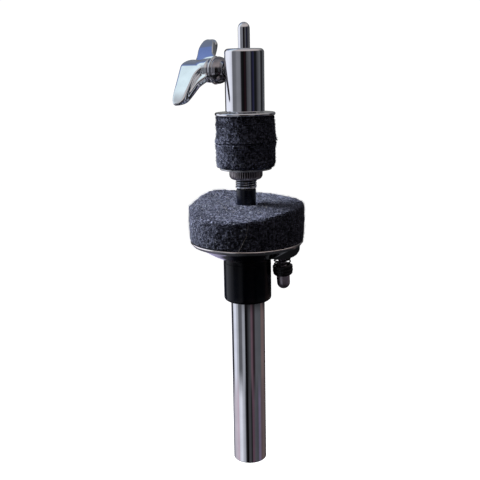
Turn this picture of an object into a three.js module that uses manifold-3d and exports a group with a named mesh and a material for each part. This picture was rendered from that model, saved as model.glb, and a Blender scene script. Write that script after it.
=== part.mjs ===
// Upper section of a hi-hat cymbal stand: chromed upper tube with its black top cap, tilting
// bottom-cymbal seat, pull rod, and the clutch that clamps the top cymbal to the rod.
// Millimetres, +Z up. The origin is the centre of the upper tube's open lower end, where the
// lower part of the stand takes over.
import * as THREE from 'three';
import { mergeVertices } from 'three/addons/utils/BufferGeometryUtils.js';
import Module from 'manifold-3d';

const wasm = await Module();
wasm.setup();

// ---------- driving dimensions (mm) ----------
const SEG = 32;              // facets of the large round parts
const SEG_S = 20;            // facets of the small round parts

const TUBE_R = 9.525, TUBE_IR = 8.0, TUBE_TOP = 112.0;        // 3/4 inch tube
const ROD_R = 3.175, ROD_LOW = 20.2, ROD_TOP = 248.8;         // 1/4 inch pull rod
const CAP_R = 13.35, CAP_LOW = 97.7, CAP_TOP = 121.3;
const SLEEVE_R = 5.4, SLEEVE_IR = 3.65, SLEEVE_TOP = 160.9;
const SEAT_PLATE_TOP = 132.3, SEAT_R = 31.4;
const FELT_R = 31.2, FELT_HOLE = 7.0, FELT_LOW = 132.45, FELT_TOP = 152.5;
const BARREL_R = 10.6, BARREL_LOW = 202.4, BARREL_TOP = 235.3;
const SPINDLE_R = 5.9, SPINDLE_LOW = 161.2, SPINDLE_TOP = 215.6;
const CLUTCH_FELT_R = 15.8, CLUTCH_HOLE = 6.4;
const WING_Z = 224.2;                                          // height of the wing screw's axis
const WING_AZ = 29.5;                                            // wing screw points to -X, turned this far to +Y
const WING_ROLL = 42.7;                                        // how far the wings are turned from vertical
const TILT_LEAN = 3.0;                                         // tilt screw leans outward going down
const TILT_X = 19.9, TILT_Z = 114.2;                           // a point on the tilt screw's axis
const HINGE_X = -16.0, HINGE_Z = 128.2;                        // pin the seat plate tilts on

// ---------- helpers ----------
const finish = (geo) => {
  // position only, shared vertices merged, faces outward
  geo.deleteAttribute('normal'); geo.deleteAttribute('uv');
  let g = mergeVertices(geo, 1e-4);
  const p = g.attributes.position, ix = Array.from(g.index.array);
  const tris = [];
  let vol = 0;
  const a = new THREE.Vector3(), b = new THREE.Vector3(), c = new THREE.Vector3();
  for (let i = 0; i < ix.length; i += 3) {
    if (ix[i] === ix[i + 1] || ix[i + 1] === ix[i + 2] || ix[i] === ix[i + 2]) continue;
    tris.push(ix[i], ix[i + 1], ix[i + 2]);
    a.fromBufferAttribute(p, ix[i]); b.fromBufferAttribute(p, ix[i + 1]); c.fromBufferAttribute(p, ix[i + 2]);
    vol += a.dot(b.cross(c));
  }
  if (vol < 0) for (let i = 0; i < tris.length; i += 3) [tris[i + 1], tris[i + 2]] = [tris[i + 2], tris[i + 1]];
  g.setIndex(tris);
  return g;
};
const toManifold = (g) => new wasm.Manifold(new wasm.Mesh({
  numProp: 3,
  vertProperties: Float32Array.from(g.attributes.position.array),
  triVerts: Uint32Array.from(g.index.array),
}));
const fromManifold = (m) => {
  const mesh = m.getMesh();
  const g = new THREE.BufferGeometry();
  const n = mesh.numProp;
  const pos = new Float32Array(mesh.vertProperties.length / n * 3);
  for (let i = 0; i < pos.length / 3; i++) for (let k = 0; k < 3; k++) pos[i * 3 + k] = mesh.vertProperties[i * n + k];
  g.setAttribute('position', new THREE.BufferAttribute(pos, 3));
  g.setIndex(new THREE.BufferAttribute(Uint32Array.from(mesh.triVerts), 1));
  return g;
};
const subtract = (g, ...cutters) => fromManifold(cutters.reduce((m, c) => m.subtract(toManifold(c)), toManifold(g)));
const intersect = (g, h) => fromManifold(toManifold(g).intersect(toManifold(h)));
const union = (g, ...others) => fromManifold(others.reduce((m, c) => m.add(toManifold(c)), toManifold(g)));

// revolves a closed list of [radius, height] about Z
const lathe = (profile, seg = SEG) => {
  const closed = [...profile];
  const onAxis = profile[0][0] < 1e-9 && profile[profile.length - 1][0] < 1e-9;
  if (!onAxis) closed.push(profile[0]);
  const g = new THREE.LatheGeometry(closed.map(([r, z]) => new THREE.Vector2(r, z)), seg);
  g.rotateX(Math.PI / 2);
  return finish(g);
};
const ring = (ri, ro, z0, z1, seg = SEG) => lathe([[ri, z0], [ro, z0], [ro, z1], [ri, z1]], seg);
const rod = (r, z0, z1, seg = SEG_S) => lathe([[0, z0], [r, z0], [r, z1], [0, z1]], seg);
const box = (x0, x1, y0, y1, z0, z1) => {
  const g = new THREE.BoxGeometry(x1 - x0, y1 - y0, z1 - z0);
  g.translate((x0 + x1) / 2, (y0 + y1) / 2, (z0 + z1) / 2);
  return finish(g);
};
// quarter-circle of points from angle a0 to a1 (degrees)
const arc = (cx, cz, r, a0, a1, n) => Array.from({ length: n + 1 }, (_, i) => {
  const t = (a0 + (a1 - a0) * i / n) * Math.PI / 180;
  return [cx + r * Math.cos(t), cz + r * Math.sin(t)];
});

const group = new THREE.Group();
const material = (color, roughness, metalness) => new THREE.MeshStandardMaterial({ color, roughness, metalness });
const chrome = material(0xc9ccd2, 0.08, 1.0);
const steel = material(0x8f9296, 0.35, 1.0);
const darkNickel = material(0x5a5650, 0.3, 1.0);
const black = material(0x0b0b0e, 0.35, 0.0);
const blackSteel = material(0x151517, 0.35, 0.8);
const felt = material(0x24242c, 1.0, 0.0);
const nylon = material(0xe6e3d8, 0.5, 0.0);
const brass = material(0xb98f3e, 0.35, 1.0);
const add = (name, geo, mat, parent = group) => {
  const m = new THREE.Mesh(geo, mat);
  m.name = name;
  parent.add(m);
  return m;
};

// ---------- upper tube and its cap ----------
add('upper_tube', ring(TUBE_IR, TUBE_R, 0, TUBE_TOP), chrome);

// flanged nylon bush that guides the rod in the tube's top
add('rod_guide_bush', lathe([
  [3.5, 93], [7.75, 93], [7.75, TUBE_TOP + 0.15], [9.3, TUBE_TOP + 0.15], [9.3, TUBE_TOP + 1.4], [3.5, TUBE_TOP + 1.4],
], SEG_S), nylon);

// black collar over the tube's top, bored for the tube, the sleeve's foot and three screws
let cap = lathe([
  [9.75, CAP_LOW], ...arc(CAP_R - 3, CAP_LOW + 3, 3, -90, 0, 4),
  [CAP_R, 119.6], [CAP_R - 0.35, 119.8], [CAP_R - 0.35, 120.1], [CAP_R, 120.3],
  [CAP_R, CAP_TOP], [SLEEVE_R + 0.2, CAP_TOP], [SLEEVE_R + 0.2, 115.4], [9.75, 115.4],
]);
const SCREW_RING = 9.6;
const screwAt = [90, 210, 330].map((d) => d * Math.PI / 180);
for (const t of screwAt) {
  const c = rod(1.6, 117.6, CAP_TOP + 1, 16);
  c.translate(SCREW_RING * Math.cos(t), SCREW_RING * Math.sin(t), 0);
  cap = subtract(cap, c);
}
const grubHole = rod(2.3, 5, 20, 16);
grubHole.rotateX(-Math.PI / 2);
grubHole.translate(0, 0, 104.5);
cap = subtract(cap, grubHole);
add('tube_cap', cap, black);
const grub = rod(2.0, 9.85, 12.9, 16);
grub.rotateX(-Math.PI / 2);
grub.translate(0, 0, 104.5);
add('cap_grub_screw', grub, blackSteel);

// plastic sleeve the bottom cymbal centres on, standing on a foot inside the cap
add('seat_sleeve', lathe([
  [SLEEVE_IR, 113.65], [9.3, 113.65], [9.3, 115.15], [SLEEVE_R, 115.15], [SLEEVE_R, SLEEVE_TOP - 0.6],
  [SLEEVE_R - 0.6, SLEEVE_TOP], [SLEEVE_IR, SLEEVE_TOP],
], SEG_S), black);

// ---------- tilting seat ----------
const lean = TILT_LEAN * Math.PI / 180;
// places geometry built along +Z with its zero at (TILT_X, TILT_Z) on the leaning tilt axis
const onTilt = (g) => { g.rotateY(-lean); g.translate(TILT_X, 0, TILT_Z); return g; };

let bowl = lathe([
  [SLEEVE_R + 0.35, 121.6], [13.35, 121.6], [14.5, 122.0], [19.8, 124.6], [24.5, 127.4], [27.4, 129.0], [28.9, 129.7], [29.6, 130.15],
  [28.7, 130.15], [27.0, 130.0], [24.0, 128.55], [19.2, 125.75], [13.9, 123.2], [13.2, 122.8], [SLEEVE_R + 0.35, 122.8],
]);
// thickened flank under the right side, flat around the tilt screw
const flank = lathe([
  [14.2, 122.2], [16.0, 122.4], [23.6, 122.4], [26.7, 123.6], [28.3, 124.8], [29.35, 126.5], [29.5, 129.9],
  [28.9, 129.9], [27.2, 129.5], [24.3, 128.0], [19.5, 125.2], [14.2, 122.6],
]);
// everything above the middle of the bowl's wall
const inside = lathe([[0, 122.2], [13.3, 122.2], [19.5, 125.2], [24.3, 128.0], [27.2, 129.5], [27.2, 135], [0, 135]]);
bowl = union(bowl, intersect(flank, box(12, 31, -8.0, 8.0, 110, 135)), onTilt(rod(6.5, 7.9, 10.7, SEG_S)));
for (const s of [-1, 1]) bowl = union(bowl, intersect(inside, box(HINGE_X - 2.2, HINGE_X + 2.2, s * 6.5 - 0.8, s * 6.5 + 0.8, 120, 130.6)));
const pinBore = rod(1.4, -12, 12, 16);
pinBore.rotateX(Math.PI / 2);
pinBore.translate(HINGE_X, 0, HINGE_Z);
bowl = subtract(bowl, pinBore, onTilt(rod(3.7, 4, 15, 24)), onTilt(rod(5.3, 10.7, 15.3, 24)));
for (const t of screwAt) {
  const c = rod(1.7, 120, 124, 16);
  c.translate(SCREW_RING * Math.cos(t), SCREW_RING * Math.sin(t), 0);
  bowl = subtract(bowl, c);
}
add('seat_bowl', bowl, chrome);
screwAt.forEach((t, i) => {
  const s = lathe([[0, 118.0], [1.3, 118.0], [1.3, 123.1], [2.7, 123.1], [2.7, 124.1], [2.0, 124.7], [0, 124.7]], 16);
  s.translate(SCREW_RING * Math.cos(t), SCREW_RING * Math.sin(t), 0);
  add('bowl_screw_' + (i + 1), s, steel);
});

const pin = rod(1.1, -8.2, 8.2, 16);
pin.rotateX(Math.PI / 2);
pin.translate(HINGE_X, 0, HINGE_Z);
add('hinge_pin', pin, steel);

// tapped bush in the bowl's wall that the tilt screw runs in
add('tilt_bush', onTilt(lathe([[2.7, 8.1], [3.4, 8.1], [3.4, 11.0], [4.9, 11.0], [4.9, 12.6], [2.7, 12.6]], 24)), steel);

// lid-like plate under the felt: flat top, rim rolled down over the bowl's edge
let plate = lathe([
  [FELT_HOLE, SEAT_PLATE_TOP - 1.0], [29.9, SEAT_PLATE_TOP - 1.0], [30.3, SEAT_PLATE_TOP - 1.4], [30.4, SEAT_PLATE_TOP - 2.1],
  [30.9, SEAT_PLATE_TOP - 2.2], [SEAT_R - 0.1, SEAT_PLATE_TOP - 1.8], [SEAT_R, SEAT_PLATE_TOP - 1.1], [SEAT_R - 0.25, SEAT_PLATE_TOP - 0.4],
  [SEAT_R - 0.8, SEAT_PLATE_TOP], [FELT_HOLE, SEAT_PLATE_TOP],
]);
plate = union(plate, box(HINGE_X - 2.0, HINGE_X + 2.0, -5.2, 5.2, 126.2, SEAT_PLATE_TOP - 0.5));
plate = subtract(plate, pinBore);
add('seat_plate', plate, chrome);
add('seat_felt', ring(FELT_HOLE, FELT_R, FELT_LOW, FELT_TOP), felt);

// tilt screw: plain tip under the plate, threaded shank, rounded thumb end; knurled collar pressed on it
add('tilt_screw', onTilt(lathe([
  ...arc(0, -7.1, 3.7, -90, 0, 5), [3.7, -2.95], [2.4, -2.95], [2.4, 16.0], [1.6, 16.8], [0, 16.8],
].map(([r, z]) => [Math.max(0, r), z]), 24)), darkNickel);
add('tilt_collar', onTilt(lathe([
  [2.7, -2.7], [4.6, -2.7], [5.4, -1.9], [5.7, -0.6], [5.7, 1.2], [5.6, 2.8], [5.1, 2.8], [5.1, -1.2], [2.7, -1.2],
], SEG_S)), blackSteel);
add('tilt_washer', onTilt(ring(2.7, 4.75, -0.9, -0.4, SEG_S)), steel);
{
  const turns = 4.2, R = 4.35, z0 = 0.35, z1 = 7.15, n = 50, pts = [];
  for (let i = 0; i <= n; i++) {
    const t = i / n, a = t * turns * 2 * Math.PI + 2.2;
    pts.push(new THREE.Vector3(R * Math.cos(a), R * Math.sin(a), z0 + (z1 - z0) * t));
  }
  const path = new THREE.CatmullRomCurve3(pts);
  const section = new THREE.Shape(Array.from({ length: 6 }, (_, i) => new THREE.Vector2(0.42 * Math.cos(i * Math.PI / 3), 0.42 * Math.sin(i * Math.PI / 3))));
  const g = finish(new THREE.ExtrudeGeometry(section, { extrudePath: path, steps: n, bevelEnabled: false }));
  add('tilt_spring', onTilt(g), blackSteel);
}

// ---------- pull rod ----------
add('pull_rod', lathe([
  [0, ROD_LOW], [2.7, ROD_LOW], [2.9, ROD_LOW + 0.3], [2.9, 35.5], [ROD_R, 35.8], [ROD_R, ROD_TOP - 3.4],
  ...arc(0, ROD_TOP - 3.4, 1, 0, 90, 5).map(([x, z]) => [x * ROD_R, ROD_TOP - 3.4 + (z - (ROD_TOP - 3.4)) * 3.4]),
].map(([r, z]) => [r < 1e-6 ? 0 : r, z]), SEG_S), chrome);
add('rod_coupling', ring(3.2, 5.5, 12.0, 30.0, SEG_S), steel);
{
  const hex = new THREE.Shape(Array.from({ length: 6 }, (_, i) => new THREE.Vector2(5.6 * Math.cos(i * Math.PI / 3), 5.6 * Math.sin(i * Math.PI / 3))));
  const hole = new THREE.Path();
  hole.absarc(0, 0, 3.2, 0, Math.PI * 2, true);
  hex.holes.push(hole);
  const g = finish(new THREE.ExtrudeGeometry(hex, { depth: 3.8, bevelEnabled: false, curveSegments: 24 }));
  g.translate(0, 0, 30.4);
  add('rod_lock_nut', g, steel);
}

// ---------- clutch ----------
const az = WING_AZ * Math.PI / 180;
// turns geometry built along +Z (outward) so that +Z points along the wing screw; its local X is the wings' spread
const onWing = (g, roll = 0) => {
  g.rotateZ(roll);
  g.rotateY(-Math.PI / 2);          // +Z -> -X, +X -> +Z
  g.rotateZ(-az);                   // -X turns to +Y
  g.translate(0, 0, WING_Z);
  return g;
};
add('clutch_upper_bush', ring(3.5, 4.95, 228.6, 233.4, SEG_S), nylon);
add('clutch_lower_bush', ring(3.5, 4.55, 161.7, 172.0, SEG_S), nylon);

let barrel = lathe([
  [6.25, BARREL_LOW], [BARREL_R - 0.6, BARREL_LOW], [BARREL_R, BARREL_LOW + 0.6], [BARREL_R, BARREL_TOP - 2.0],
  ...arc(BARREL_R - 2.0, BARREL_TOP - 2.0, 2.0, 0, 90, 4).slice(1), [3.6, BARREL_TOP], [3.6, 233.7], [5.25, 233.7], [5.25, 215.9], [6.25, 215.9],
]);
barrel = subtract(barrel, onWing(rod(3.3, 4.0, 14, 24)));
add('clutch_barrel', barrel, chrome);
add('clutch_spindle', lathe([
  [4.85, SPINDLE_LOW], [SPINDLE_R - 0.5, SPINDLE_LOW], [SPINDLE_R, SPINDLE_LOW + 0.5], [SPINDLE_R, SPINDLE_TOP], [3.65, SPINDLE_TOP],
  [3.65, 172.3], [4.85, 172.3],
], SEG_S), chrome);

add('clamp_pad', onWing(rod(2.2, 3.5, 5.4, 16)), brass);
add('wing_screw', onWing(rod(2.85, 5.7, 19.5, 20)), steel);

// wing handle: round hub with a domed nose, and two flat blades that pass it on opposite sides
{
  let hub = lathe([
    [3.2, 12.0], [4.2, 12.0], [5.3, 13.3], [6.6, 15.0], [7.2, 16.7], [7.2, 19.0], [6.8, 19.6], [6.8, 21.0], [6.2, 25.0], [5.0, 31.0], [0, 33.0],
    [0, 19.9], [3.2, 19.9],
  ], SEG_S);
  // one blade as a slab: outline in (spread, outward), and the two faces' offsets from the screw's axis
  const slab = (s, t0, t1) => {
    const g = new THREE.ExtrudeGeometry(s, { depth: t1 - t0 - 1.0, bevelEnabled: true, bevelThickness: 0.5, bevelSize: 0.5, bevelSegments: 1, curveSegments: 4 });
    g.translate(0, 0, 0.5 - t1);
    g.rotateX(Math.PI / 2);           // the outline's Y becomes +Z (outward), thickness along Y
    return finish(g);
  };
  const face = new THREE.Shape();
  face.moveTo(1.5, 37.4);
  face.bezierCurveTo(-4, 36.6, -12, 35.1, -21.5, 33.6);
  face.bezierCurveTo(-23.9, 33.2, -24.4, 32.0, -24.1, 30.4);
  face.bezierCurveTo(-23.6, 27.2, -22.4, 25.6, -19.5, 25.6);
  face.lineTo(-9.5, 25.4);
  face.bezierCurveTo(-5.5, 25.2, -3.5, 23.6, -2.6, 21.0);
  face.lineTo(1.6, 20.6);
  face.lineTo(3.2, 35.6);
  face.bezierCurveTo(3.3, 36.8, 2.6, 37.5, 1.5, 37.4);
  const back = new THREE.Shape();
  back.moveTo(-1.0, 36.6);
  back.bezierCurveTo(-6, 36.0, -12, 35.1, -21.5, 33.6);
  back.bezierCurveTo(-23.9, 33.2, -24.2, 32.0, -23.8, 30.4);
  back.bezierCurveTo(-23.2, 27.8, -22.4, 26.4, -20.8, 25.8);
  back.lineTo(-12.2, 23.4);
  back.bezierCurveTo(-10.2, 22.6, -8.8, 20.6, -7.0, 19.4);
  back.lineTo(-1.0, 19.4);
  const halves = [slab(face, -5.5, -2.2), slab(back, -3.6, 0.3)];
  let handle = union(hub, ...halves, ...halves.map((g) => g.clone().rotateZ(Math.PI)));
  handle = subtract(handle, rod(3.2, 10, 19.9, SEG_S));
  add('wing_handle', onWing(handle, WING_ROLL * Math.PI / 180), chrome);
}

add('upper_felt_washer', lathe([
  [CLUTCH_HOLE, 200.5], [15.9, 200.5], [16.35, 200.9], [16.35, 201.7], [15.9, 202.15], [CLUTCH_HOLE, 202.15],
]), chrome);
add('clutch_upper_felt', ring(CLUTCH_HOLE, CLUTCH_FELT_R, 186.35, 200.3), felt);
add('clutch_lower_felt', ring(CLUTCH_HOLE, CLUTCH_FELT_R, 172.8, 186.15), felt);
add('lower_felt_washer', ring(CLUTCH_HOLE, 14.2, 171.55, 172.6), steel);
add('clutch_nut', lathe([
  [6.25, 165.9], [6.9, 165.9], [8.3, 166.5], [9.0, 167.6], [9.15, 168.6], [9.15, 170.9], [8.9, 171.35], [6.25, 171.35],
]), darkNickel);

export default group;
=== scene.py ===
import math

import bmesh
import bpy
import numpy as np
from mathutils import Matrix, Vector, noise


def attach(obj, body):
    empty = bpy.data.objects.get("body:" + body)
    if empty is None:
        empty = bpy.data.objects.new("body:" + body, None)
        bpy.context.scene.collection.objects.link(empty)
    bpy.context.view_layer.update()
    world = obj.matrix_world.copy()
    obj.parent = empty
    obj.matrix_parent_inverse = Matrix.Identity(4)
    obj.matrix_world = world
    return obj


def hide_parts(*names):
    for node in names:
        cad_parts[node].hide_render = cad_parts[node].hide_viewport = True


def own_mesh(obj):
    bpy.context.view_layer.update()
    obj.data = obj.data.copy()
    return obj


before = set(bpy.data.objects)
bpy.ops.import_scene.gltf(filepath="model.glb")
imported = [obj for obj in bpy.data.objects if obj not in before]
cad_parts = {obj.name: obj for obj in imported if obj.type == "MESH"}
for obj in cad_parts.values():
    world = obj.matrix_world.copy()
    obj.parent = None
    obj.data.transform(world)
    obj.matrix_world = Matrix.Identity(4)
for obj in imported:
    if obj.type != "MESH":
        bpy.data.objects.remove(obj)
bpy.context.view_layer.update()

scene = bpy.context.scene
MM = 0.001
TAU = 2 * math.pi

# ------------------------------------------------------------------ mesh helpers (profiles and points in millimetres)


def rounded(points, n=5):
    """Closed outline from (a, b) or (a, b, radius) points, its corners rounded by arcs of n steps."""
    out, k = [], len(points)
    for i in range(k):
        p = points[i]
        r = p[2] if len(p) > 2 else 0.0
        c = np.array(p[:2], float)
        if r <= 0:
            out.append(tuple(c))
            continue
        a = np.array(points[i - 1][:2], float) - c
        b = np.array(points[(i + 1) % k][:2], float) - c
        la, lb = np.linalg.norm(a), np.linalg.norm(b)
        a, b = a / la, b / lb
        if np.linalg.norm(a + b) < 1e-4:
            out.append(tuple(c))
            continue
        half = math.acos(max(-1, min(1, float(a @ b)))) / 2
        cut = min(r / math.tan(half), la * 0.48, lb * 0.48)
        r = cut * math.tan(half)
        centre = c + (a + b) / np.linalg.norm(a + b) * (r / math.sin(half))
        s, e = c + a * cut - centre, c + b * cut - centre
        sweep = math.atan2(s[0] * e[1] - s[1] * e[0], float(s @ e))
        for j in range(n + 1):
            t = sweep * j / n
            out.append((centre[0] + s[0] * math.cos(t) - s[1] * math.sin(t), centre[1] + s[0] * math.sin(t) + s[1] * math.cos(t)))
    return out


def finer(points, step):
    """The closed outline with every edge longer than step divided."""
    out, k = [], len(points)
    for i in range(k):
        a, b = np.array(points[i], float), np.array(points[(i + 1) % k], float)
        m = max(1, int(math.ceil(np.linalg.norm(b - a) / step)))
        out += [tuple(a + (b - a) * j / m) for j in range(m)]
    return out


def make(name, verts, faces, sharp=32.0):
    """A smooth-shaded mesh object from points in millimetres, its faces turned outward."""
    me = bpy.data.meshes.new(name)
    me.from_pydata([tuple(float(x) * MM for x in v) for v in verts], [], faces)
    bm = bmesh.new()
    bm.from_mesh(me)
    bmesh.ops.remove_doubles(bm, verts=bm.verts, dist=1e-7)
    bmesh.ops.recalc_face_normals(bm, faces=bm.faces)
    bm.to_mesh(me)
    bm.free()
    o = bpy.data.objects.new(name, me)
    scene.collection.objects.link(o)
    shade(o, sharp)
    return o


def shade(o, sharp=32.0):
    o.data.shade_smooth()
    o.data.set_sharp_from_angle(angle=math.radians(sharp))


def revolved(profile, seg, change=None):
    """Points and faces of a closed (radius, height) outline turned about Z. change(radius, height, angle) gives the point's new radius and height."""
    k = len(profile)
    pr = np.array(profile, float)
    th = np.arange(seg) / seg * TAU
    R = np.repeat(pr[None, :, 0], seg, 0)
    Z = np.repeat(pr[None, :, 1], seg, 0)
    T = np.repeat(th[:, None], k, 1)
    if change:
        R, Z = change(R, Z, T)
    V = np.stack([R * np.cos(T), R * np.sin(T), Z], -1).reshape(-1, 3)
    faces = []
    for i in range(seg):
        a, b = i * k, ((i + 1) % seg) * k
        for j in range(k):
            j2 = (j + 1) % k
            if pr[j, 0] < 1e-6 and pr[j2, 0] < 1e-6:
                continue
            if pr[j, 0] < 1e-6:
                faces.append((j, b + j2, a + j2))
            elif pr[j2, 0] < 1e-6:
                faces.append((a + j, b + j, j2))
            else:
                faces.append((a + j, b + j, b + j2, a + j2))
    return V, faces


def turned(name, profile, seg=160, change=None, sharp=32.0, place=None):
    V, F = revolved(profile, seg, change)
    if place is not None:
        V = place(V)
    return make(name, V, F, sharp)


def prism(name, outline, z0, z1, place=None, sharp=32.0):
    """A closed slab from an outline in (a, b), between two heights."""
    k = len(outline)
    V = np.array([(x, y, z0) for x, y in outline] + [(x, y, z1) for x, y in outline], float)
    F = [tuple(range(k - 1, -1, -1)), tuple(range(k, 2 * k))] + [(i, (i + 1) % k, k + (i + 1) % k, k + i) for i in range(k)]
    if place is not None:
        V = place(V)
    return make(name, V, F, sharp)


def block(name, x0, x1, y0, y1, z0, z1):
    return prism(name, [(x0, y0), (x1, y0), (x1, y1), (x0, y1)], z0, z1)


def baked(o):
    """Applies o's modifiers."""
    bpy.context.view_layer.update()
    me = bpy.data.meshes.new_from_object(o.evaluated_get(bpy.context.evaluated_depsgraph_get()))
    o.modifiers.clear()
    old = o.data
    o.data = me
    bpy.data.meshes.remove(old)
    return o


def combine(o, other, how, sharp=32.0):
    """Cuts, joins or intersects o with other, and uses other up."""
    m = o.modifiers.new("b", "BOOLEAN")
    m.operation, m.solver, m.object = how, "EXACT", other
    baked(o)
    bpy.data.objects.remove(other)
    shade(o, sharp)
    return o


def join_into(o, *others):
    """Puts the others' closed bodies into o's mesh."""
    bm = bmesh.new()
    bm.from_mesh(o.data)
    for x in others:
        bm.from_mesh(x.data)
        bpy.data.objects.remove(x)
    bm.to_mesh(o.data)
    bm.free()
    return o


def bevelled(o, width, segments=3, angle=30):
    m = o.modifiers.new("bev", "BEVEL")
    m.width, m.segments, m.limit_method, m.angle_limit = width * MM, segments, "ANGLE", math.radians(angle)
    m.harden_normals = False
    return baked(o)


def tube_along(name, pts, radius, sides=10, taper=None):
    """A closed round wire along points in millimetres."""
    P = np.array(pts, float)
    n = len(P)
    Tn = np.gradient(P, axis=0)
    Tn /= np.linalg.norm(Tn, axis=1)[:, None]
    up = np.array([0.0, 0.0, 1.0]) if abs(Tn[0][2]) < 0.9 else np.array([1.0, 0.0, 0.0])
    A = np.cross(Tn[0], up)
    A /= np.linalg.norm(A)
    V, F = [], []
    for i in range(n):
        A = A - Tn[i] * (A @ Tn[i])
        A /= np.linalg.norm(A)
        B = np.cross(Tn[i], A)
        r = radius * (taper(i / (n - 1)) if taper else 1.0)
        for j in range(sides):
            a = TAU * j / sides
            V.append(P[i] + r * (A * math.cos(a) + B * math.sin(a)))
    for i in range(n - 1):
        for j in range(sides):
            j2 = (j + 1) % sides
            F.append((i * sides + j, i * sides + j2, (i + 1) * sides + j2, (i + 1) * sides + j))
    F.append(tuple(range(sides - 1, -1, -1)))
    F.append(tuple((n - 1) * sides + j for j in range(sides)))
    return V, F


# ------------------------------------------------------------------ materials


class Mat:
    """A node material with a Principled shader and a few shorthands."""

    def __init__(self, name, **sockets):
        self.m = bpy.data.materials.new(name)
        self.m.use_nodes = True
        self.t = self.m.node_tree
        self.p = self.t.nodes["Principled BSDF"]
        for k, v in sockets.items():
            self.p.inputs[k.replace("_", " ")].default_value = v
        self.coord = self.t.nodes.new("ShaderNodeTexCoord").outputs["Object"]

    def node(self, kind, **props):
        n = self.t.nodes.new(kind)
        for k, v in props.items():
            setattr(n, k, v)
        return n

    def link(self, a, b):
        self.t.links.new(a, b)

    def mapped(self, scale=(1, 1, 1), rotation=(0, 0, 0)):
        n = self.node("ShaderNodeMapping")
        n.inputs["Scale"].default_value = scale
        n.inputs["Rotation"].default_value = rotation
        self.link(self.coord, n.inputs["Vector"])
        return n.outputs["Vector"]

    def noise(self, scale, detail=3.0, rough=0.55, vector=None, distortion=0.0):
        n = self.node("ShaderNodeTexNoise")
        n.inputs["Scale"].default_value = scale
        n.inputs["Detail"].default_value = detail
        n.inputs["Roughness"].default_value = rough
        n.inputs["Distortion"].default_value = distortion
        self.link(vector or self.coord, n.inputs["Vector"])
        return n.outputs["Fac"]

    def voronoi(self, scale, feature="F1", vector=None):
        n = self.node("ShaderNodeTexVoronoi", feature=feature)
        n.inputs["Scale"].default_value = scale
        self.link(vector or self.coord, n.inputs["Vector"])
        return n.outputs["Distance"]

    def ramp(self, fac, stops, smooth=False):
        n = self.node("ShaderNodeValToRGB")
        r = n.color_ramp
        r.interpolation = "EASE" if smooth else "LINEAR"
        while len(r.elements) > 1:
            r.elements.remove(r.elements[-1])
        r.elements[0].position, r.elements[0].color = stops[0][0], (*stops[0][1], 1)
        for pos, c in stops[1:]:
            e = r.elements.new(pos)
            e.color = (*c, 1)
        self.link(fac, n.inputs["Fac"])
        return n.outputs["Color"]

    def spread(self, fac, a, b, lo=0.3, hi=0.7):
        n = self.node("ShaderNodeMapRange")
        n.inputs["From Min"].default_value, n.inputs["From Max"].default_value = lo, hi
        n.inputs["To Min"].default_value, n.inputs["To Max"].default_value = a, b
        self.link(fac, n.inputs["Value"])
        return n.outputs["Result"]

    def math(self, op, a, b):
        n = self.node("ShaderNodeMath", operation=op)
        for i, v in enumerate((a, b)):
            if isinstance(v, (int, float)):
                n.inputs[i].default_value = v
            else:
                self.link(v, n.inputs[i])
        return n.outputs[0]

    def mix(self, fac, a, b):
        n = self.node("ShaderNodeMix", data_type="RGBA")
        if isinstance(fac, (int, float)):
            n.inputs[0].default_value = fac
        else:
            self.link(fac, n.inputs[0])
        for i, v in ((6, a), (7, b)):
            if isinstance(v, tuple):
                n.inputs[i].default_value = (*v, 1)
            else:
                self.link(v, n.inputs[i])
        return n.outputs[2]

    def bump(self, height, strength, distance_mm, normal=None):
        n = self.node("ShaderNodeBump")
        n.inputs["Strength"].default_value = strength
        n.inputs["Distance"].default_value = distance_mm * MM
        self.link(height, n.inputs["Height"])
        if normal:
            self.link(normal, n.inputs["Normal"])
        return n.outputs["Normal"]

    def set(self, socket, value):
        self.link(value, self.p.inputs[socket])


def metal(name, dark, light, rough_lo, rough_hi, wave=0.02, grain=0.012, pits=0.0, streak=None):
    """A metal with soft colour drift, uneven polish, a faint waviness and fine grain."""
    m = Mat(name, Metallic=1.0)
    drift = m.noise(90, 4, 0.6)
    cloud = m.noise(420, 5, 0.65)
    m.set("Base Color", m.mix(m.spread(drift, 0, 1, 0.35, 0.65), dark, light))
    r = m.spread(cloud, rough_lo, rough_hi, 0.35, 0.7)
    if streak:
        lines = m.noise(1, 4, 0.6, m.mapped(streak))
        r = m.math("ADD", r, m.spread(lines, 0.0, (rough_hi - rough_lo) * 0.8, 0.45, 0.75))
    if pits:
        spots = m.ramp(m.voronoi(260), [(0.0, (1, 1, 1)), (0.09, (1, 1, 1)), (0.16, (0, 0, 0)), (1.0, (0, 0, 0))])
        r = m.math("ADD", r, m.math("MULTIPLY", spots, pits))
    m.set("Roughness", r)
    n1 = m.bump(m.noise(60, 2, 0.5), wave, 1.0)
    n2 = m.bump(m.noise(2600, 2, 0.5), grain, 0.2, n1)
    m.set("Normal", n2)
    return m.m


chrome = metal("chrome_plate", (0.61, 0.62, 0.65), (0.69, 0.70, 0.73), 0.008, 0.035, wave=0.010, grain=0.003, pits=0.05, streak=(700, 700, 18))
chrome_cast = metal("chrome_cast", (0.62, 0.65, 0.68), (0.72, 0.75, 0.78), 0.02, 0.06, wave=0.06, grain=0.008, pits=0.05)
chrome_dull = metal("chrome_dull", (0.44, 0.46, 0.51), (0.62, 0.64, 0.70), 0.06, 0.15, wave=0.03, grain=0.03)
steel = metal("zinc_steel", (0.40, 0.41, 0.43), (0.54, 0.55, 0.57), 0.22, 0.42, wave=0.03, grain=0.06, streak=(500, 500, 30))
dark_nickel = metal("dark_nickel", (0.24, 0.225, 0.23), (0.46, 0.43, 0.45), 0.24, 0.44, wave=0.05, grain=0.08)
bullet_metal = metal("aged_nickel", (0.34, 0.30, 0.36), (0.62, 0.56, 0.62), 0.34, 0.58, wave=0.10, grain=0.16)
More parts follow.
